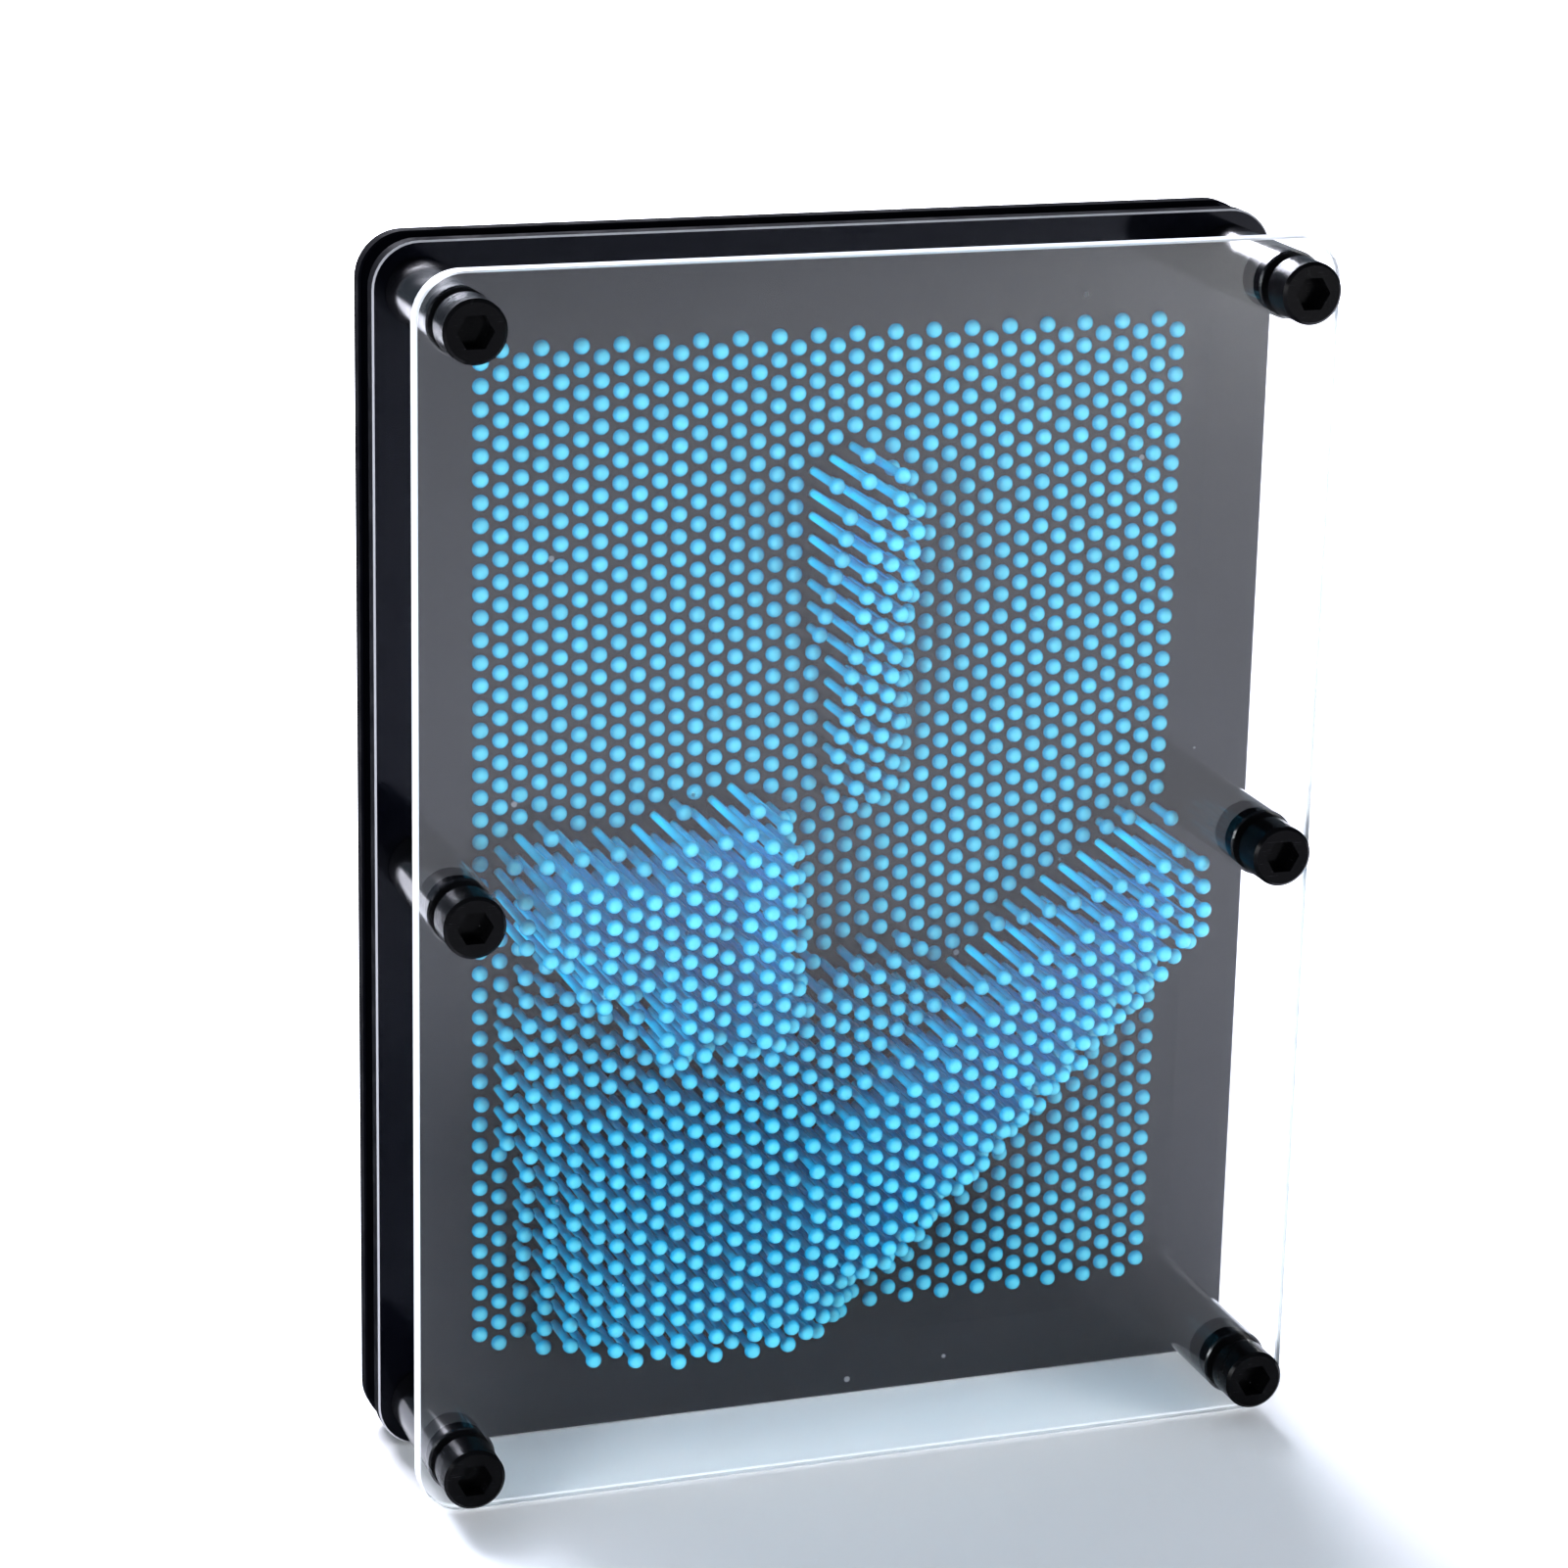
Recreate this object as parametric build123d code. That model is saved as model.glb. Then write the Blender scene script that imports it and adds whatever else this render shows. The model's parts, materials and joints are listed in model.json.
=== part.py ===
from build123d import *
import math
import os

# Three equal sheets: the clear cover in front and two black pin plates behind it
plate_width = 150.0
plate_height = 200.0
sheet_thickness = 3.2
corner_radius = 7.5
edge_chamfer = 0.3
front_gap = 23.0
rear_gap = 5.4

# Six socket-head screws hold the stack together through tubular spacers
screw_diameter = 6.0
screw_side_inset = 7.6
screw_end_inset = 8.0
screw_hole_clearance = 0.2
screw_end_past_nut = 1.5
screw_end_chamfer = 0.8
screw_head_diameter = screw_diameter * 10 / 6
screw_head_height = screw_diameter
screw_head_chamfer = 0.5
socket_across_flats = screw_diameter * 5 / 6
socket_depth = screw_diameter / 2
spacer_wall = 2.3
spacer_chamfer = 0.3
nut_across_flats = screw_diameter * 10 / 6
nut_thickness = screw_diameter * 5 / 6
nut_bore_clearance = 0.05
nut_chamfer = 0.6

# Pins stand in columns that step half a row up and down in turn
column_count = 37
long_column_rows = 46
spacer_to_first_column = 3.6
plate_end_to_first_row = 17.2
pin_sides = 12
pin_head_spacing = 0.84
pin_head_rim = 0.5
pin_head_crown = 1.1
pin_shoulder_ratio = 0.82
pin_shoulder_height_ratio = 0.6
pin_tip_ratio = 0.38
pin_shaft_ratio = 0.56
pin_hole_clearance = 0.2
pin_end_gap = 0.1
pin_tail_reserve = 2.0
pin_unevenness = 0.03
raised_level_count = 27

# The hand pressed in from behind, as rounded pads on the plate. Each has x and z of its
# two ends, from the middle of the bottom edge, its radius and its push at those ends, as
# a share of the pins' travel, and how steeply its edge rises.
hand_pads = {
    "index finger": ((4.6, 111.0), (2.8, 157.0), (6.6, 7.9), (0.20, 1.00), 6),
    "middle finger": ((-16.0, 76.0), (-17.0, 102.0), (9.0, 8.6), (0.84, 0.98), 6),
    "ring finger": ((-28.5, 75.0), (-28.0, 100.0), (8.6, 8.0), (0.84, 0.98), 6),
    "little finger": ((-40.5, 86.0), (-39.5, 97.0), (8.6, 7.8), (0.86, 0.96), 6),
    "little fingertip": ((-49.5, 93.0), (-49.0, 98.5), (8.0, 7.6), (0.90, 0.96), 6),
    "palm below the fingers": ((-44.5, 60.0), (-43.5, 75.0), (14.0, 13.0), (0.46, 0.28), 5),
    "heel of the palm": ((-22.0, 8.0), (-30.0, 46.0), (27.5, 25.5), (0.74, 0.66), 3),
    "middle of the palm": ((-14.0, 28.0), (-12.0, 58.0), (21.5, 22.0), (0.78, 0.60), 3),
    "thumb": ((1.5, 42.0), (55.5, 90.5), (17.5, 10.5), (0.82, 0.97), 6),
    "web of the thumb": ((-10.0, 64.0), (8.0, 68.0), (15.0, 15.0), (0.58, 0.46), 6),
}

# Sizes that follow from the ones above
spacer_diameter = screw_diameter + 2 * (screw_hole_clearance + spacer_wall)
screw_hole_radius = screw_diameter / 2 + screw_hole_clearance
screw_x = plate_width / 2 - screw_side_inset
middle_z = plate_height / 2
screw_rows = {
    "top": plate_height - screw_end_inset,
    "middle": middle_z,
    "bottom": screw_end_inset,
}
column_pitch = 2 * (screw_x - spacer_diameter / 2 - spacer_to_first_column) / (column_count - 1)
row_pitch = (plate_height - 2 * plate_end_to_first_row) / (long_column_rows - 1)
nearest_pins = min(row_pitch, math.hypot(column_pitch, row_pitch / 2))
pin_head_radius = (nearest_pins - pin_head_spacing) / 2
pin_shaft_radius = pin_shaft_ratio * pin_head_radius
pin_hole_radius = pin_shaft_radius + pin_hole_clearance
pin_head_height = pin_head_rim + pin_head_crown
pin_travel = front_gap - pin_head_height - 2 * pin_end_gap
level_step = pin_travel / raised_level_count
pin_shaft_length = 2 * sheet_thickness + rear_gap + pin_travel + pin_tail_reserve

# Depths run back from the front face of the clear cover
front_plate_depth = sheet_thickness + front_gap
rear_plate_depth = front_plate_depth + sheet_thickness + rear_gap
rear_face_depth = rear_plate_depth + sheet_thickness
pin_rest_depth = front_plate_depth - pin_end_gap
screw_length = rear_face_depth + nut_thickness + screw_end_past_nut
front_face_y = (screw_head_height - pin_rest_depth - pin_shaft_length) / 2


def laid_back(shape, x, depth, z):
    """Every piece is built upright with its front upwards, then laid on its back here."""
    return Pos(x, front_face_y + depth, z) * Rot(X=90) * shape


def sheet_blank():
    outline = RectangleRounded(plate_width, plate_height, corner_radius)
    blank = extrude(outline, -sheet_thickness)
    flat_faces = blank.faces().sort_by(Axis.Z)
    rims = flat_faces[0].edges() + flat_faces[-1].edges()
    blank = chamfer(rims, edge_chamfer)
    screw_hole = Cylinder(
        screw_hole_radius,
        sheet_thickness,
        align=(Align.CENTER, Align.CENTER, Align.MAX),
    )
    spots = [(x, z - middle_z) for x in (-screw_x, screw_x) for z in screw_rows.values()]
    return blank - [Pos(x, y) * screw_hole for x, y in spots]


def column_x(column):
    return (column - (column_count - 1) / 2) * column_pitch


def column_heights(column):
    rows = long_column_rows - (column + 1) % 2
    return [(row - (rows - 1) / 2) * row_pitch for row in range(rows)]


def pin_plate():
    """One strip is drilled for each column of pins, then the strips are sewn edge to edge."""
    blank = sheet_blank()
    half_width = plate_width / 2
    pin_hole = Cylinder(
        pin_hole_radius,
        sheet_thickness,
        align=(Align.CENTER, Align.CENTER, Align.MAX),
    )
    skin = []
    for column in range(column_count):
        x = column_x(column)
        left = -half_width if column == 0 else x - column_pitch / 2
        right = half_width if column == column_count - 1 else x + column_pitch / 2
        band = Pos((left + right) / 2, 0, -sheet_thickness / 2) * Box(
            right - left, plate_height, sheet_thickness
        )
        strip = (blank & band) - [Pos(x, y) * pin_hole for y in column_heights(column)]
        for face in strip.faces():
            across = abs(face.center().X - left), abs(face.center().X - right)
            joins_next = face.geom_type == GeomType.PLANE and min(across) < edge_chamfer / 10
            if not joins_next or abs(face.center().X) > half_width - edge_chamfer / 10:
                skin.append(face)
    return Solid(Shell(skin))


def turned_pin():
    """A pin with its head up: flat-sided rings joined by plane faces, tail to crown."""
    shoulder_z = pin_head_rim + pin_shoulder_height_ratio * pin_head_crown
    profile = [
        (pin_shaft_radius, -pin_shaft_length),
        (pin_shaft_radius, 0),
        (pin_head_radius, 0),
        (pin_head_radius, pin_head_rim),
        (pin_shoulder_ratio * pin_head_radius, shoulder_z),
        (pin_tip_ratio * pin_head_radius, pin_head_height),
    ]
    turn = 2 * math.pi / pin_sides
    rings = []
    for radius, z in profile:
        angles = [(side + 0.5) * turn for side in range(pin_sides)]
        rings.append([(radius * math.cos(a), radius * math.sin(a), z) for a in angles])
    faces = [Face(Wire.make_polygon(rings[0])), Face(Wire.make_polygon(rings[-1]))]
    for lower, upper in zip(rings, rings[1:]):
        for side in range(pin_sides):
            after = (side + 1) % pin_sides
            corners = [lower[side], lower[after], upper[after], upper[side]]
            faces.append(Face(Wire.make_polygon(corners)))
    return Solid(Shell(faces))


def pad_push(x, z, start, end, radii, pushes, steepness):
    """How far one pad of the hand pushes a pin, as a share of its travel."""
    run_x = end[0] - start[0]
    run_z = end[1] - start[1]
    along = ((x - start[0]) * run_x + (z - start[1]) * run_z) / (run_x**2 + run_z**2)
    along = min(1, max(0, along))
    off_axis = math.hypot(x - start[0] - along * run_x, z - start[1] - along * run_z)
    radius = radii[0] + along * (radii[1] - radii[0])
    push = pushes[0] + along * (pushes[1] - pushes[0])
    return push * (1 - min(1, off_axis / radius) ** steepness)


def pin_level(x, z, column, row):
    push = max(pad_push(x, z, *pad) for pad in hand_pads.values())
    if push <= pin_unevenness:
        return 0
    push += pin_unevenness * math.sin(5.1 * column + 2.3 * row) * math.cos(1.7 * column * row)
    level = round(push * raised_level_count)
    return min(raised_level_count, max(0, level))


def hex_socket_screw():
    head = Cylinder(
        screw_head_diameter / 2,
        screw_head_height,
        align=(Align.CENTER, Align.CENTER, Align.MIN),
    )
    head = chamfer(head.edges().sort_by(Axis.Z)[-1], screw_head_chamfer)
    socket = extrude(
        RegularPolygon(socket_across_flats / 2, 6, major_radius=False), -socket_depth
    )
    shank = Cylinder(
        screw_diameter / 2,
        screw_length,
        align=(Align.CENTER, Align.CENTER, Align.MAX),
    )
    shank = chamfer(shank.edges().sort_by(Axis.Z)[0], screw_end_chamfer)
    return head + shank - Pos(0, 0, screw_head_height) * socket


def spacer(length):
    tube = Cylinder(
        spacer_diameter / 2, length, align=(Align.CENTER, Align.CENTER, Align.MAX)
    )
    tube = chamfer(tube.edges().filter_by(GeomType.CIRCLE), spacer_chamfer)
    return tube - Cylinder(screw_hole_radius, 2 * length + 2)


def hex_nut():
    blank = extrude(
        RegularPolygon(nut_across_flats / 2, 6, major_radius=False), -nut_thickness
    )
    corner_radius_out = nut_across_flats / math.sqrt(3)
    turned = Cylinder(
        corner_radius_out, nut_thickness, align=(Align.CENTER, Align.CENTER, Align.MAX)
    )
    turned = chamfer(turned.edges().filter_by(GeomType.CIRCLE), nut_chamfer)
    bore = Cylinder(screw_diameter / 2 + nut_bore_clearance, 3 * nut_thickness)
    return (blank & turned) - bore


nodes = {"clear_front_plate": laid_back(sheet_blank(), 0, 0, middle_z)}
drilled = pin_plate()
nodes["front_pin_plate"] = laid_back(drilled, 0, front_plate_depth, middle_z)
nodes["rear_pin_plate"] = laid_back(drilled, 0, rear_plate_depth, middle_z)

for row_name, z in screw_rows.items():
    for side_name, x in (("left", -screw_x), ("right", screw_x)):
        place = f"{row_name}_{side_name}"
        nodes[f"screw_{place}"] = laid_back(hex_socket_screw(), x, 0, z)
        nodes[f"front_spacer_{place}"] = laid_back(spacer(front_gap), x, sheet_thickness, z)
        nodes[f"rear_spacer_{place}"] = laid_back(
            spacer(rear_gap), x, front_plate_depth + sheet_thickness, z
        )
        nodes[f"nut_{place}"] = laid_back(hex_nut(), x, rear_face_depth, z)

pin = turned_pin()
pins_by_level = {level: [] for level in range(raised_level_count + 1)}
for column in range(column_count):
    for row, height in enumerate(column_heights(column)):
        x = column_x(column)
        z = middle_z + height
        level = pin_level(x, z, column, row)
        depth = pin_rest_depth - level * level_step
        pins_by_level[level].append(laid_back(pin, x, depth, z))
for level, pins in pins_by_level.items():
    name = f"pins_raised_{level:02d}" if level else "pins_flat"
    nodes[name] = Compound(children=pins)
    print(name, len(pins), "raised", round(level * level_step, 3))

os.makedirs("parts", exist_ok=True)
for name, shape in nodes.items():
    shape.label = name
    export_step(shape, f"parts/{name}.step")
print("pins", sum(len(pins) for pins in pins_by_level.values()), "travel", pin_travel)
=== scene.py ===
import json
import math
import random

import bpy
from mathutils import Matrix, Vector


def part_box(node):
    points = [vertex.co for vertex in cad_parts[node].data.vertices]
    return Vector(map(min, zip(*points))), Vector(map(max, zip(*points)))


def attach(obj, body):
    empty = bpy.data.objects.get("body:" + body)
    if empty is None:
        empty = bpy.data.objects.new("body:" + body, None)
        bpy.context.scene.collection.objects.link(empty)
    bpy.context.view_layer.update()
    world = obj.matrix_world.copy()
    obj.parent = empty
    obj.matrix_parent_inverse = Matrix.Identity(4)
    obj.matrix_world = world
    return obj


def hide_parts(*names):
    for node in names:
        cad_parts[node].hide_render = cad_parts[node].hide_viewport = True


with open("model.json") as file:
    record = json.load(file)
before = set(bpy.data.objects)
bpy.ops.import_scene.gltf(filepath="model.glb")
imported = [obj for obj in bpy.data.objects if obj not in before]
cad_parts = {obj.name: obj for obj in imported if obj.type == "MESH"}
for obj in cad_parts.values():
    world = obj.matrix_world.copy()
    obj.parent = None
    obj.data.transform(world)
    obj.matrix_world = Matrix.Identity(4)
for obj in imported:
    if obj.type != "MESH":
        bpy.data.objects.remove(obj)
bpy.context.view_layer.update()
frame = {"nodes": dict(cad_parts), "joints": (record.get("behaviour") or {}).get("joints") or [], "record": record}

cadNodes = frame["nodes"]
print("stage: frame loaded,", len(cadNodes), "nodes")


# helpers that build shader trees, then the node groups every finish shares
def newGroup(name, inputs, outputs):
    group = bpy.data.node_groups.new(name, "ShaderNodeTree")
    for label, kind, value in inputs:
        socket = group.interface.new_socket(label, in_out="INPUT", socket_type=kind)
        if value is not None:
            socket.default_value = value
    for label, kind in outputs:
        group.interface.new_socket(label, in_out="OUTPUT", socket_type=kind)
    start = group.nodes.new("NodeGroupInput")
    end = group.nodes.new("NodeGroupOutput")
    return group, start, end


def addNode(tree, kind, values=None, **settings):
    node = tree.nodes.new(kind)
    for key, value in settings.items():
        setattr(node, key, value)
    for key, value in (values or {}).items():
        node.inputs[key].default_value = value
    return node


def mathNode(tree, operation, a, b=None, clamp=False):
    node = addNode(tree, "ShaderNodeMath", operation=operation, use_clamp=clamp)
    for index, value in enumerate((a, b)):
        if value is None:
            continue
        if isinstance(value, (int, float)):
            node.inputs[index].default_value = value
        else:
            tree.links.new(value, node.inputs[index])
    return node.outputs[0]


def rangeNode(tree, value, low, high, toLow=0.0, toHigh=1.0):
    node = addNode(tree, "ShaderNodeMapRange", {1: low, 2: high, 3: toLow, 4: toHigh})
    tree.links.new(value, node.inputs[0])
    return node.outputs[0]


def mixColour(tree, share, a, b):
    node = addNode(tree, "ShaderNodeMix", data_type="RGBA")
    for socket, value in ((node.inputs[0], share), (node.inputs[6], a), (node.inputs[7], b)):
        if isinstance(value, (int, float, tuple)):
            socket.default_value = value
        else:
            tree.links.new(value, socket)
    return node.outputs[2]


def makeDust():
    # sparse round specks and a thin uneven film, as settles on polished sheet
    group, start, end = newGroup(
        "dustSpecks",
        [("Scale", "NodeSocketFloat", 300.0), ("Speck Size", "NodeSocketFloat", 0.12),
         ("Share", "NodeSocketFloat", 0.1), ("Film", "NodeSocketFloat", 0.1)],
        [("Dust", "NodeSocketFloat")],
    )
    place = addNode(group, "ShaderNodeTexCoord")
    cells = addNode(group, "ShaderNodeTexVoronoi", {"Randomness": 1.0})
    group.links.new(place.outputs["Object"], cells.inputs["Vector"])
    group.links.new(start.outputs["Scale"], cells.inputs["Scale"])
    near = mathNode(group, "LESS_THAN", cells.outputs["Distance"], start.outputs["Speck Size"])
    pick = addNode(group, "ShaderNodeSeparateColor")
    group.links.new(cells.outputs["Color"], pick.inputs[0])
    chosen = mathNode(group, "LESS_THAN", pick.outputs[0], start.outputs["Share"])
    strength = rangeNode(group, pick.outputs[1], 0.0, 1.0, 0.35, 1.0)
    specks = mathNode(group, "MULTIPLY", mathNode(group, "MULTIPLY", near, chosen), strength)
    cloud = addNode(group, "ShaderNodeTexNoise",
                    {"Scale": 28.0, "Detail": 5.0, "Roughness": 0.65})
    group.links.new(place.outputs["Object"], cloud.inputs["Vector"])
    haze = rangeNode(group, cloud.outputs["Fac"], 0.45, 0.75)
    film = mathNode(group, "MULTIPLY", haze, start.outputs["Film"])
    dust = mathNode(group, "MAXIMUM", specks, film)
    group.links.new(dust, end.inputs["Dust"])
    return group


def makeScratches():
    # hairline wiping marks in two directions
    group, start, end = newGroup(
        "hairScratches",
        [("Scale", "NodeSocketFloat", 60.0), ("Amount", "NodeSocketFloat", 1.0)],
        [("Scratches", "NodeSocketFloat")],
    )
    place = addNode(group, "ShaderNodeTexCoord")
    lines = []
    for turn, stretch in ((0.5, 18.0), (-0.9, 26.0)):
        move = addNode(group, "ShaderNodeMapping")
        move.inputs["Rotation"].default_value = (0.0, turn, 0.0)
        move.inputs["Scale"].default_value = (1.0, 1.0, stretch)
        group.links.new(place.outputs["Object"], move.inputs["Vector"])
        noise = addNode(group, "ShaderNodeTexNoise", {"Detail": 3.0, "Roughness": 0.7})
        group.links.new(move.outputs[0], noise.inputs["Vector"])
        group.links.new(start.outputs["Scale"], noise.inputs["Scale"])
        lines.append(rangeNode(group, noise.outputs["Fac"], 0.66, 0.74))
    both = mathNode(group, "MAXIMUM", lines[0], lines[1])
    out = mathNode(group, "MULTIPLY", both, start.outputs["Amount"])
    group.links.new(out, end.inputs["Scratches"])
    return group


def makeSmudges():
    # broad greasy patches that change the gloss
    group, start, end = newGroup(
        "handSmudges",
        [("Scale", "NodeSocketFloat", 18.0), ("Low", "NodeSocketFloat", 0.05),
         ("High", "NodeSocketFloat", 0.2)],
        [("Roughness", "NodeSocketFloat"), ("Mask", "NodeSocketFloat")],
    )
    place = addNode(group, "ShaderNodeTexCoord")
    noise = addNode(group, "ShaderNodeTexNoise", {"Detail": 6.0, "Roughness": 0.6,
                                                  "Distortion": 0.8})
    group.links.new(place.outputs["Object"], noise.inputs["Vector"])
    group.links.new(start.outputs["Scale"], noise.inputs["Scale"])
    mask = rangeNode(group, noise.outputs["Fac"], 0.4, 0.7)
    spread = mathNode(group, "SUBTRACT", start.outputs["High"], start.outputs["Low"])
    rough = mathNode(group, "ADD", mathNode(group, "MULTIPLY", mask, spread),
                     start.outputs["Low"])
    group.links.new(rough, end.inputs["Roughness"])
    group.links.new(mask, end.inputs["Mask"])
    return group


# how far a face's normal may lean towards the front and still count as each of these
steepness = {"side": 0.3, "chamfer": 0.95}


def makeSheetEdges():
    # the thin chamfer round the faces of a sheet, told apart by the way it faces
    group, _, end = newGroup("sheetEdges", [], [("Chamfer", "NodeSocketFloat")])
    place = addNode(group, "ShaderNodeTexCoord")
    split = addNode(group, "ShaderNodeSeparateXYZ")
    group.links.new(place.outputs["Normal"], split.inputs[0])
    facing = mathNode(group, "ABSOLUTE", split.outputs["Y"])
    side = mathNode(group, "LESS_THAN", facing, steepness["side"])
    chamfer = mathNode(group, "SUBTRACT",
                       mathNode(group, "LESS_THAN", facing, steepness["chamfer"]), side)
    group.links.new(chamfer, end.inputs["Chamfer"])
    return group


dustGroup = makeDust()
scratchGroup = makeScratches()
smudgeGroup = makeSmudges()
edgeGroup = makeSheetEdges()


def groupNode(tree, group, values):
    node = tree.nodes.new("ShaderNodeGroup")
    node.node_tree = group
    for key, value in values.items():
        node.inputs[key].default_value = value
    return node


def newMaterial(name, sockets):
    material = bpy.data.materials.new(name)
    material.use_nodes = True
    tree = material.node_tree
    shader = tree.nodes["Principled BSDF"]
    for key, value in sockets.items():
        shader.inputs[key].default_value = value
    return material, tree, shader


def addBump(tree, shader, height, strength, distance):
    bump = addNode(tree, "ShaderNodeBump", {"Strength": strength, "Distance": distance})
    tree.links.new(height, bump.inputs["Height"])
    tree.links.new(bump.outputs[0], shader.inputs["Normal"])


def addFinish(tree, shader, finish):
    # dust, scratches and smudges over a base colour
    dust = groupNode(tree, dustGroup, {
        "Scale": finish["speckScale"], "Speck Size": finish["speckSize"],
        "Share": finish["speckShare"], "Film": finish["film"]})
    scratch = groupNode(tree, scratchGroup, {
        "Scale": finish["scratchScale"], "Amount": finish["scratches"]})
    smudge = groupNode(tree, smudgeGroup, {
        "Scale": finish["smudgeScale"], "Low": finish["gloss"][0], "High": finish["gloss"][1]})
    rough = mathNode(tree, "ADD", smudge.outputs["Roughness"],
                     mathNode(tree, "MULTIPLY", dust.outputs["Dust"], 0.5), clamp=True)
    tree.links.new(rough, shader.inputs["Roughness"])
    return dust.outputs["Dust"], scratch.outputs["Scratches"], smudge.outputs["Mask"]


acrylicIndex = 1.49

# clear cover
clearCover = {
    "tint": (0.975, 0.992, 1.0, 1.0),
    "specular": 0.08,
    "shadowTint": (0.93, 0.96, 0.975, 1.0),
    "dustColour": (0.93, 0.95, 0.96, 1.0),
    "speckScale": 95.0, "speckSize": 0.035, "speckShare": 0.10, "film": 0.0,
    "scratchScale": 40.0, "scratches": 0.4,
    "smudgeScale": 14.0, "gloss": (0.0, 0.035),
    "scratchRelief": 0.15, "scratchDepth": 0.00001,
}

sawnEdges = {
    "colour": (0.93, 0.96, 0.99, 1.0),
    "roughness": (0.30, 0.50),
    "clarity": 0.45,          # share of light that goes through
    "grainScale": 700.0, "grainRelief": 0.3, "grainDepth": 0.00004,
}


def letLampsThrough(tree, shader, tint):
    # lamp light passes straight through, so the pins behind are lit
    path = addNode(tree, "ShaderNodeLightPath")
    clear = addNode(tree, "ShaderNodeBsdfTransparent", {"Color": tint})
    mix = addNode(tree, "ShaderNodeMixShader")
    tree.links.new(path.outputs["Is Shadow Ray"], mix.inputs[0])
    tree.links.new(shader.outputs[0], mix.inputs[1])
    tree.links.new(clear.outputs[0], mix.inputs[2])
    tree.links.new(mix.outputs[0], tree.nodes["Material Output"].inputs["Surface"])


def makeClearAcrylic(look):
    material, tree, shader = newMaterial("clearAcrylic", {
        "Transmission Weight": 1.0, "IOR": acrylicIndex, "Metallic": 0.0,
        "Specular IOR Level": look["specular"]})
    dust, scratch, _ = addFinish(tree, shader, look)
    tree.links.new(mixColour(tree, dust, look["tint"], look["dustColour"]),
                   shader.inputs["Base Color"])
    addBump(tree, shader, scratch, look["scratchRelief"], look["scratchDepth"])
    letLampsThrough(tree, shader, look["shadowTint"])
    return material


def makeSawnAcrylic(look, shadowTint):
    # the frosted rim of the clear cover
    material, tree, shader = newMaterial("sawnAcrylic", {
        "Transmission Weight": look["clarity"], "IOR": acrylicIndex, "Metallic": 0.0,
        "Base Color": look["colour"]})
    place = addNode(tree, "ShaderNodeTexCoord")
    grain = addNode(tree, "ShaderNodeTexNoise", {"Scale": look["grainScale"], "Detail": 3.0})
    tree.links.new(place.outputs["Object"], grain.inputs["Vector"])
    tree.links.new(rangeNode(tree, grain.outputs["Fac"], 0.3, 0.7, *look["roughness"]),
                   shader.inputs["Roughness"])
    addBump(tree, shader, grain.outputs["Fac"], look["grainRelief"], look["grainDepth"])
    letLampsThrough(tree, shader, shadowTint)
    return material


# black pin plates
blackPlates = {
    "colour": (0.0012, 0.0014, 0.0030, 1.0),
    "dustColour": (0.16, 0.16, 0.17, 1.0),
    # painted highlight: the chamfer of the black sheet is coloured light grey, as where light catches its edge
    "chamferHighlight": (0.34, 0.34, 0.36, 1.0),
    "specular": 0.22, "shine": (0.88, 0.90, 1.0, 1.0),
    "speckScale": 170.0, "speckSize": 0.09, "speckShare": 0.06, "film": 0.02,
    "scratchScale": 70.0, "scratches": 0.5,
    "smudgeScale": 22.0, "gloss": (0.05, 0.14),
    "scratchRelief": 0.3, "scratchDepth": 0.00002,
}

sawnBlackRim = {
    "colour": blackPlates["colour"], "specular": 0.03,
    "grainScale": 160.0, "roughness": (0.7, 0.95),
}

# how much a greasy patch lightens a black sheet, and by what factor at full strength
smudgeTint = {"share": 0.3, "lighter": 1.6}


def makeBlackGloss(name, look):
    material, tree, shader = newMaterial(name, {
        "IOR": acrylicIndex, "Metallic": 0.0, "Specular IOR Level": look["specular"],
        "Specular Tint": look["shine"]})
    dust, scratch, smudge = addFinish(tree, shader, look)
    lighter = tuple(smudgeTint["lighter"] * c for c in look["colour"][:3]) + (1.0,)
    base = mixColour(tree, mathNode(tree, "MULTIPLY", smudge, smudgeTint["share"]),
                     look["colour"], lighter)
    # painted highlight: chamfer faces are mixed towards a light grey
    if "chamferHighlight" in look:
        edges = groupNode(tree, edgeGroup, {})
        base = mixColour(tree, edges.outputs["Chamfer"], base, look["chamferHighlight"])
    tree.links.new(mixColour(tree, dust, base, look["dustColour"]),
                   shader.inputs["Base Color"])
    addBump(tree, shader, mathNode(tree, "ADD", scratch, dust), look["scratchRelief"],
            look["scratchDepth"])
    return material


def makeSawnBlack(look):
    # the saw-cut rims of the black plates, with almost no shine
    material, tree, shader = newMaterial("sawnBlack", {
        "Base Color": look["colour"], "IOR": acrylicIndex, "Metallic": 0.0,
        "Specular IOR Level": look["specular"]})
    grain = groupNode(tree, smudgeGroup, {
        "Scale": look["grainScale"], "Low": look["roughness"][0],
        "High": look["roughness"][1]})
    tree.links.new(grain.outputs["Roughness"], shader.inputs["Roughness"])
    return material


# spacers, screws and nuts
spacerTube = {
    "colour": (0.004, 0.004, 0.005, 1.0),
    "dustColour": (0.10, 0.10, 0.105, 1.0),
    "specular": 0.35, "shine": (1.0, 1.0, 1.0, 1.0),
    "speckScale": 420.0, "speckSize": 0.08, "speckShare": 0.08, "film": 0.03,
    "scratchScale": 160.0, "scratches": 0.8,
    "smudgeScale": 90.0, "gloss": (0.12, 0.26),
    "scratchRelief": 0.3, "scratchDepth": 0.00002,
}

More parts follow.
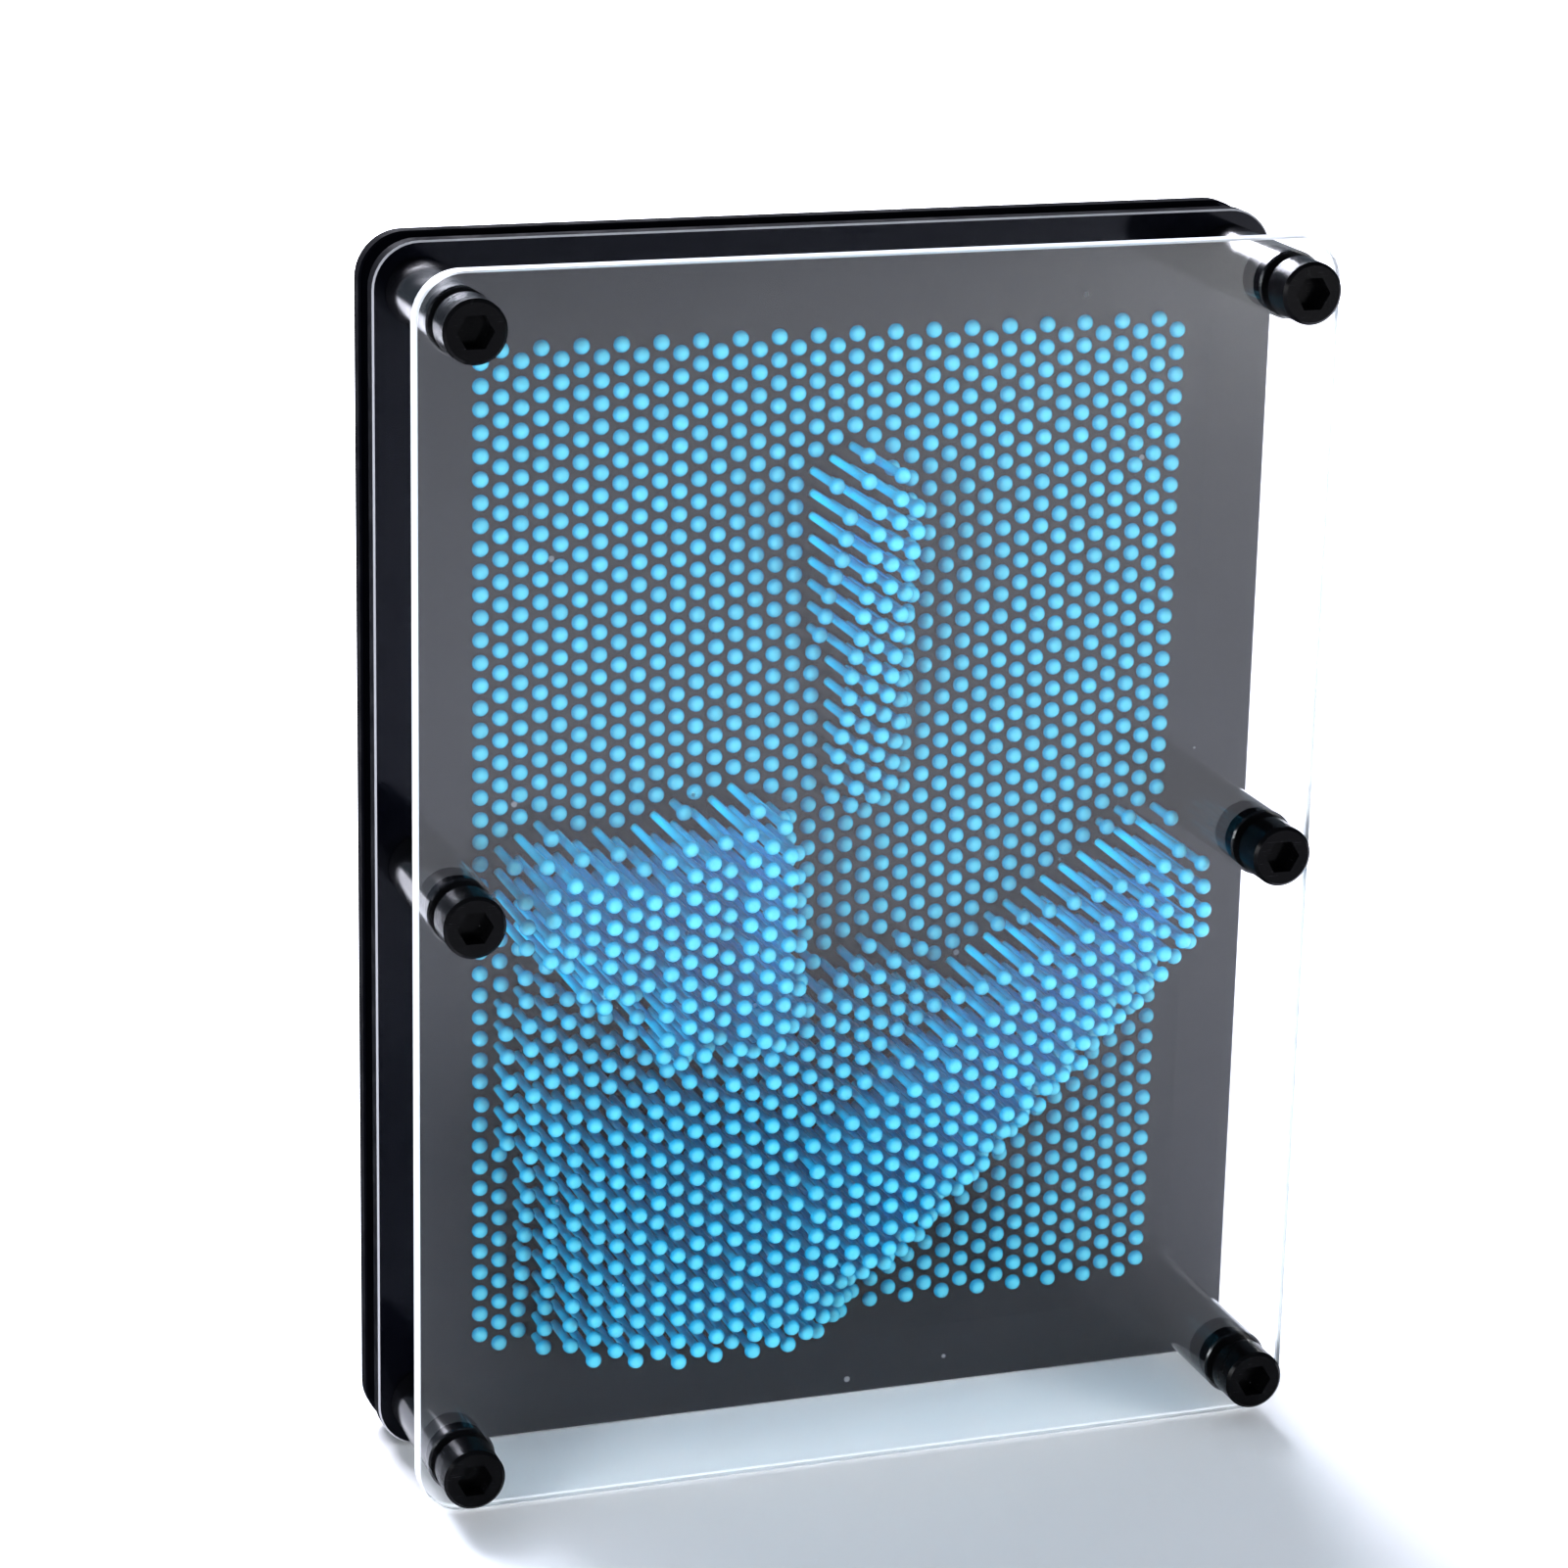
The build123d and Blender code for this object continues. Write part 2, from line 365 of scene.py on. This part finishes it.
screwSteel = {
    "colour": (0.0025, 0.0025, 0.003, 1.0),
    "bare": (0.04, 0.04, 0.045, 1.0), "worn": 0.6,
    "dustColour": (0.2, 0.2, 0.2, 1.0), "dustShare": 0.5,
    "index": 1.5, "specular": 0.07,
    "speckScale": 500.0, "speckSize": 0.08, "speckShare": 0.06, "film": 0.03,
    "scratchScale": 260.0, "scratches": 1.0,
    "smudgeScale": 140.0, "gloss": (0.16, 0.30),
    "grainScale": 1900.0, "grainRelief": 0.4, "grainDepth": 0.00003,
}


def makeBlackenedSteel(look):
    material, tree, shader = newMaterial("blackenedSteel", {
        "Metallic": 0.0, "IOR": look["index"], "Specular IOR Level": look["specular"]})
    dust, scratch, _ = addFinish(tree, shader, look)
    worn = mathNode(tree, "MULTIPLY", scratch, look["worn"])
    base = mixColour(tree, worn, look["colour"], look["bare"])
    settled = mathNode(tree, "MULTIPLY", dust, look["dustShare"])
    tree.links.new(mixColour(tree, settled, base, look["dustColour"]),
                   shader.inputs["Base Color"])
    place = addNode(tree, "ShaderNodeTexCoord")
    grain = addNode(tree, "ShaderNodeTexNoise", {"Scale": look["grainScale"], "Detail": 2.0})
    tree.links.new(place.outputs["Object"], grain.inputs["Vector"])
    addBump(tree, shader, grain.outputs["Fac"], look["grainRelief"], look["grainDepth"])
    return material


# blue pins
bluePins = {
    "sides": 12,
    "shaftTaper": 0.82,       # tail end over head end
    "brim": (0.92, 0.12),     # underside of the head over its widest, and how high that is
    "domeRings": ((0.94, 0.36), (0.74, 0.68), (0.40, 0.92)),   # share of radius and height
    "tilt": 0.006,            # how far a loose pin leans in its holes, in radians
    # painted light along each pin: the pale crown is a painted highlight, the darker head blue is painted shade
    # round the dome, the brighter shaft blue is painted light on its sides
    "tipHighlight": (0.07, 0.40, 0.52, 1.0),
    "head": (0.0, 0.27, 0.46, 1.0),
    "shaftLitBlue": (0.0, 0.64, 1.0, 1.0),
    "tonesAndLight": (0.84, 1.16),    # darkest and lightest pin
    "raisedLightShare": 0.65,      # how much of a pin's brightness is painted light, lighter the further it stands out; the rest is random tone
    "gloss": (0.14, 0.24), "glossScale": 400.0,
    "index": 1.46, "specular": 0.12,
    "alongScale": 20,         # what a metre along the pin counts as in the next two
    "tipFade": (0.006, 0.016),
    "headFade": (0.05, 0.3),
    "creaseAngle": 50,        # degrees
}


def makeBluePlastic(look):
    material, tree, shader = newMaterial("bluePinPlastic", {
        "Metallic": 0.0, "IOR": look["index"], "Specular IOR Level": look["specular"]})
    along = addNode(tree, "ShaderNodeAttribute", attribute_name="alongPin")
    toneAndLight = addNode(tree, "ShaderNodeAttribute", attribute_name="pinToneAndLight")
    # the blue runs from a painted highlight at the crown through painted shade on the head to a painted lit shaft
    base = mixColour(tree, rangeNode(tree, along.outputs["Fac"], *look["tipFade"]),
                     look["tipHighlight"], look["head"])
    base = mixColour(tree, rangeNode(tree, along.outputs["Fac"], *look["headFade"]), base,
                     look["shaftLitBlue"])
    # each pin's blue is scaled by its random tone and by painted light that makes raised pins lighter
    darker = addNode(tree, "ShaderNodeHueSaturation")
    tree.links.new(base, darker.inputs["Color"])
    tree.links.new(rangeNode(tree, toneAndLight.outputs["Fac"], 0.0, 1.0, *look["tonesAndLight"]),
                   darker.inputs["Value"])
    tree.links.new(darker.outputs[0], shader.inputs["Base Color"])
    smudge = groupNode(tree, smudgeGroup, {
        "Scale": look["glossScale"], "Low": look["gloss"][0], "High": look["gloss"][1]})
    tree.links.new(smudge.outputs["Roughness"], shader.inputs["Roughness"])
    return material


clearAcrylic = makeClearAcrylic(clearCover)
sawnAcrylic = makeSawnAcrylic(sawnEdges, clearCover["shadowTint"])
sawnBlack = makeSawnBlack(sawnBlackRim)
blackAcrylic = makeBlackGloss("blackAcrylic", blackPlates)
blackSpacer = makeBlackGloss("blackSpacer", spacerTube)
blackenedSteel = makeBlackenedSteel(screwSteel)
bluePlastic = makeBluePlastic(bluePins)
print("stage: materials made")


def setMaterial(obj, material):
    obj.data.materials.clear()
    obj.data.materials.append(material)


nodeFinish = {
    "clear_front_plate": clearAcrylic,
    "front_pin_plate": blackAcrylic,
    "rear_pin_plate": blackAcrylic,
}
for name, obj in cadNodes.items():
    if name in nodeFinish:
        setMaterial(obj, nodeFinish[name])
    elif "spacer" in name:
        setMaterial(obj, blackSpacer)
    elif name.startswith(("screw", "nut")):
        setMaterial(obj, blackenedSteel)
    else:
        setMaterial(obj, bluePlastic)


rimReach = 0.0024    # deeper than a rounded corner's middle, short of the nearest hole


def finishRim(node, material, steepest):
    # give the outer sides of a sheet their own finish; steepest leaves the faces out
    sheet = cadNodes[node].data
    sheet.materials.append(material)
    low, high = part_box(node)
    for face in sheet.polygons:
        middle = face.center
        inset = min(middle.x - low.x, high.x - middle.x, middle.z - low.z, high.z - middle.z)
        if abs(face.normal.y) < steepest and inset < rimReach:
            face.material_index = 1


# the front pin plate keeps the painted highlight on its chamfer, the other two are finished all round
finishRim("clear_front_plate", sawnAcrylic, steepness["chamfer"])
finishRim("front_pin_plate", sawnBlack, steepness["side"])
finishRim("rear_pin_plate", sawnBlack, steepness["chamfer"])


def clearSelection():
    if bpy.context.mode != "OBJECT":
        bpy.ops.object.mode_set(mode="OBJECT")
    bpy.ops.object.select_all(action="DESELECT")


def ringUp(step, shrink, centre):
    # one more ring on the selected cap: pulled forwards by step, then scaled about the axis
    bpy.ops.mesh.extrude_region_move(TRANSFORM_OT_translate={"value": (0.0, -step, 0.0)})
    bpy.ops.transform.resize(value=(shrink, 1.0, shrink), center_override=centre)


pinMesh = {
    "nearlyFlush": 1e-5,      # corners this close to a plane lie on it
    "headChamfer": 0.38,      # the crown's chamfer over the head's radius
    "headWidth": 0.0029,      # wide enough to hold one column of heads
    "cell": 0.003,            # search grid, under the distance between two pins
    "crownReach": 0.0016,     # corners of one crown are closer together than this
}


def pinSizes(mesh):
    # every size of a pin, read off the flat pins' own mesh
    corners = [v.co for v in cadNodes["pins_flat"].data.vertices]
    front = min(v.y for v in corners)
    back = max(v.y for v in corners)
    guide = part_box("front_pin_plate")[0].y
    left = min(v.x for v in corners)
    flush = mesh["nearlyFlush"]
    crown = [v for v in corners if v.y < front + flush]
    outer = [v for v in corners
             if v.x < left + mesh["headWidth"] and v.y > back - flush]
    headRadius = (min(v.x for v in crown) - left) / (1.0 - mesh["headChamfer"])
    shaftRadius = (max(v.x for v in outer) - min(v.x for v in outer)) / 2
    under = max(v.y for v in corners if v.y < guide)
    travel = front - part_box("clear_front_plate")[1].y
    return {"front": front, "back": back, "under": under, "travel": travel,
            "headRadius": headRadius, "shaftRadius": shaftRadius}


def modelPin(look, size):
    # tail at the back, dome in front, axis on the Y line through the origin
    clearSelection()
    bpy.ops.mesh.primitive_circle_add(
        vertices=look["sides"], radius=size["shaftRadius"] * look["shaftTaper"],
        fill_type="NGON", location=(0.0, size["back"], 0.0), rotation=(math.pi / 2, 0.0, 0.0))
    pin = bpy.context.object
    pin.name = "onePin"
    bpy.ops.object.transform_apply(location=True, rotation=True, scale=True)
    bpy.ops.object.mode_set(mode="EDIT")
    bpy.ops.mesh.select_all(action="SELECT")
    centre = (0.0, 0.0, 0.0)
    length = size["back"] - size["under"]
    height = size["under"] - size["front"]
    underRadius, brimHeight = look["brim"]
    ringUp(length, 1.0 / look["shaftTaper"], centre)
    ringUp(0.0, size["headRadius"] * underRadius / size["shaftRadius"], centre)
    ringUp(height * brimHeight, 1.0 / underRadius, centre)
    lastRadius, lastHeight = 1.0, brimHeight
    for radius, level in look["domeRings"]:
        ringUp(height * (level - lastHeight), radius / lastRadius, centre)
        lastRadius, lastHeight = radius, level
    bpy.ops.mesh.extrude_region_move(
        TRANSFORM_OT_translate={"value": (0.0, -height * (1.0 - lastHeight), 0.0)})
    bpy.ops.mesh.merge(type="CENTER")
    bpy.ops.mesh.select_all(action="SELECT")
    bpy.ops.mesh.normals_make_consistent(inside=False)
    bpy.ops.object.mode_set(mode="OBJECT")
    return pin


def pinCentres(node, mesh):
    # the crown of each pin, as the middle of its front ring
    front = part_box(node)[0].y
    found = {}
    for vertex in cadNodes[node].data.vertices:
        if vertex.co.y > front + mesh["nearlyFlush"]:
            continue
        cell = (math.floor(vertex.co.x / mesh["cell"]), math.floor(vertex.co.z / mesh["cell"]))
        near = None
        for dx in (-1, 0, 1):
            for dz in (-1, 0, 1):
                for ring in found.get((cell[0] + dx, cell[1] + dz), ()):
                    if (ring[0] - vertex.co).length < mesh["crownReach"]:
                        near = ring
        if near is None:
            found.setdefault(cell, []).append([vertex.co.copy()])
        else:
            near.append(vertex.co.copy())
    centres = []
    for rings in found.values():
        for ring in rings:
            xs = [v.x for v in ring]
            zs = [v.z for v in ring]
            centres.append(((min(xs) + max(xs)) / 2, (min(zs) + max(zs)) / 2))
    return front, sorted(centres)


def layPins(node, body, pin, look, size):
    front, centres = pinCentres(node, pinMesh)
    shape = pin.data
    slide = front - size["front"]
    raised = min(1.0, -slide / size["travel"])
    pivot = Vector((0.0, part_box("front_pin_plate")[1].y - slide, 0.0))
    points, faces, along, tonesAndLight = [], [], [], []
    for x, z in centres:
        # a pin's own place seeds its lean and its tone
        chance = random.Random(round(x * 1e5) * 7919 + round(z * 1e5))
        turn = Matrix.Rotation(chance.uniform(-1, 1) * look["tilt"], 3, "X")
        turn = Matrix.Rotation(chance.uniform(-1, 1) * look["tilt"], 3, "Z") @ turn
        turn = turn @ Matrix.Rotation(chance.uniform(0, math.tau), 3, "Y")
        # painted light: a raised pin is made lighter, as if more lit; the rest of its tone is random
        toneAndLight = look["raisedLightShare"] * raised + (1 - look["raisedLightShare"]) * chance.random()
        base = len(points)
        for vertex in shape.vertices:
            place = turn @ (vertex.co - pivot) + pivot
            points.append((place.x + x, place.y + slide, place.z + z))
            along.append((vertex.co.y - size["front"]) * look["alongScale"])
            tonesAndLight.append(toneAndLight)
        faces += [[base + i for i in face.vertices] for face in shape.polygons]
    mesh = bpy.data.meshes.new(node + "_domed")
    mesh.from_pydata(points, [], faces)
    for label, values in (("alongPin", along), ("pinToneAndLight", tonesAndLight)):
        mesh.attributes.new(label, "FLOAT", "POINT").data.foreach_set("value", values)
    piece = bpy.data.objects.new(node + "_domed", mesh)
    bpy.context.scene.collection.objects.link(piece)
    setMaterial(piece, bluePlastic)
    clearSelection()
    piece.select_set(True)
    bpy.context.view_layer.objects.active = piece
    bpy.ops.object.shade_smooth_by_angle(angle=math.radians(look["creaseAngle"]))
    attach(piece, body)
    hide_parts(node)
    return len(centres)


pinSize = pinSizes(pinMesh)
onePin = modelPin(bluePins, pinSize)
pinTotal = 0
for joint in frame["joints"]:
    body = joint["child"]
    for node in frame["record"]["behaviour"]["bodies"][body]:
        pinTotal += layPins(node, body, onePin, bluePins, pinSize)
bpy.data.objects.remove(onePin)
print("stage:", pinTotal, "pins laid, sizes", pinSize)


# camera, floor and lights
cameraView = {
    "place": (-0.2408, -0.66885, 0.3222),
    "yaw": -0.337, "pitch": -0.293, "roll": 0.021,
    "lens": 104.6, "sensor": 36.0,
}


def placeCamera(view):
    yaw, pitch, roll = view["yaw"], view["pitch"], view["roll"]
    ahead = Vector((-math.cos(pitch) * math.sin(yaw), math.cos(pitch) * math.cos(yaw),
                    math.sin(pitch)))
    level = Vector((math.cos(yaw), math.sin(yaw), 0.0))
    upright = level.cross(ahead)
    right = math.cos(roll) * level + math.sin(roll) * upright
    up = -math.sin(roll) * level + math.cos(roll) * upright
    turn = Matrix((right, up, -ahead)).transposed().to_4x4()
    data = bpy.data.cameras.new("viewCamera")
    data.lens = view["lens"]
    data.sensor_width = view["sensor"]
    data.clip_start = 0.01
    camera = bpy.data.objects.new("viewCamera", data)
    bpy.context.scene.collection.objects.link(camera)
    camera.matrix_world = Matrix.Translation(view["place"]) @ turn
    bpy.context.scene.camera = camera


placeCamera(cameraView)

floorSheet = {
    "size": 16.0, "drop": 0.0002, "colour": (0.93, 0.93, 0.94, 1.0),
    "roughness": 0.85, "specular": 0.2,
}


def makeFloor(look):
    clearSelection()
    bpy.ops.mesh.primitive_plane_add(size=look["size"], location=(0, 0, -look["drop"]))
    floor = bpy.context.object
    floor.name = "paleFloor"
    paper = newMaterial("palePaper", {
        "Base Color": look["colour"], "Roughness": look["roughness"],
        "Specular IOR Level": look["specular"]})[0]
    setMaterial(floor, paper)


makeFloor(floorSheet)

studioLights = [
    # name, place, aim, width, height, watts, colour
    ("backSoftbox", (-0.15, 1.45, 1.25), (0.0, 0.0, 0.0), 1.1, 0.8, 100.0,
     (0.90, 0.90, 1.0)),
    ("rightFrontSoftbox", (0.85, -0.95, 0.24), (0.0, 0.0, 0.1), 0.4, 0.4, 8.5,
     (1.0, 0.99, 0.98)),
    ("leftFrontSoftbox", (-1.0, -0.85, 0.30), (0.0, 0.0, 0.1), 0.5, 0.5, 11.0,
     (0.97, 0.98, 1.0)),
]


def addSoftbox(name, place, aim, width, height, watts, colour):
    data = bpy.data.lights.new(name, "AREA")
    data.shape = "RECTANGLE"
    data.size, data.size_y, data.energy = width, height, watts
    data.color = colour
    lamp = bpy.data.objects.new(name, data)
    bpy.context.scene.collection.objects.link(lamp)
    lamp.location = place
    lamp.rotation_euler = (Vector(aim) - Vector(place)).to_track_quat("-Z", "Y").to_euler()


for light in studioLights:
    addSoftbox(*light)

skyLight = {"colour": (0.68, 0.83, 1.0, 1.0), "strength": 0.23}
world = bpy.data.worlds.new("paleStudio")
world.use_nodes = True
sky = world.node_tree.nodes["Background"]
sky.inputs["Color"].default_value = skyLight["colour"]
sky.inputs["Strength"].default_value = skyLight["strength"]
bpy.context.scene.world = world
bpy.context.scene.view_settings.view_transform = "Standard"
bpy.context.scene.view_settings.look = "Medium High Contrast"
print("stage: camera, floor and lights placed")
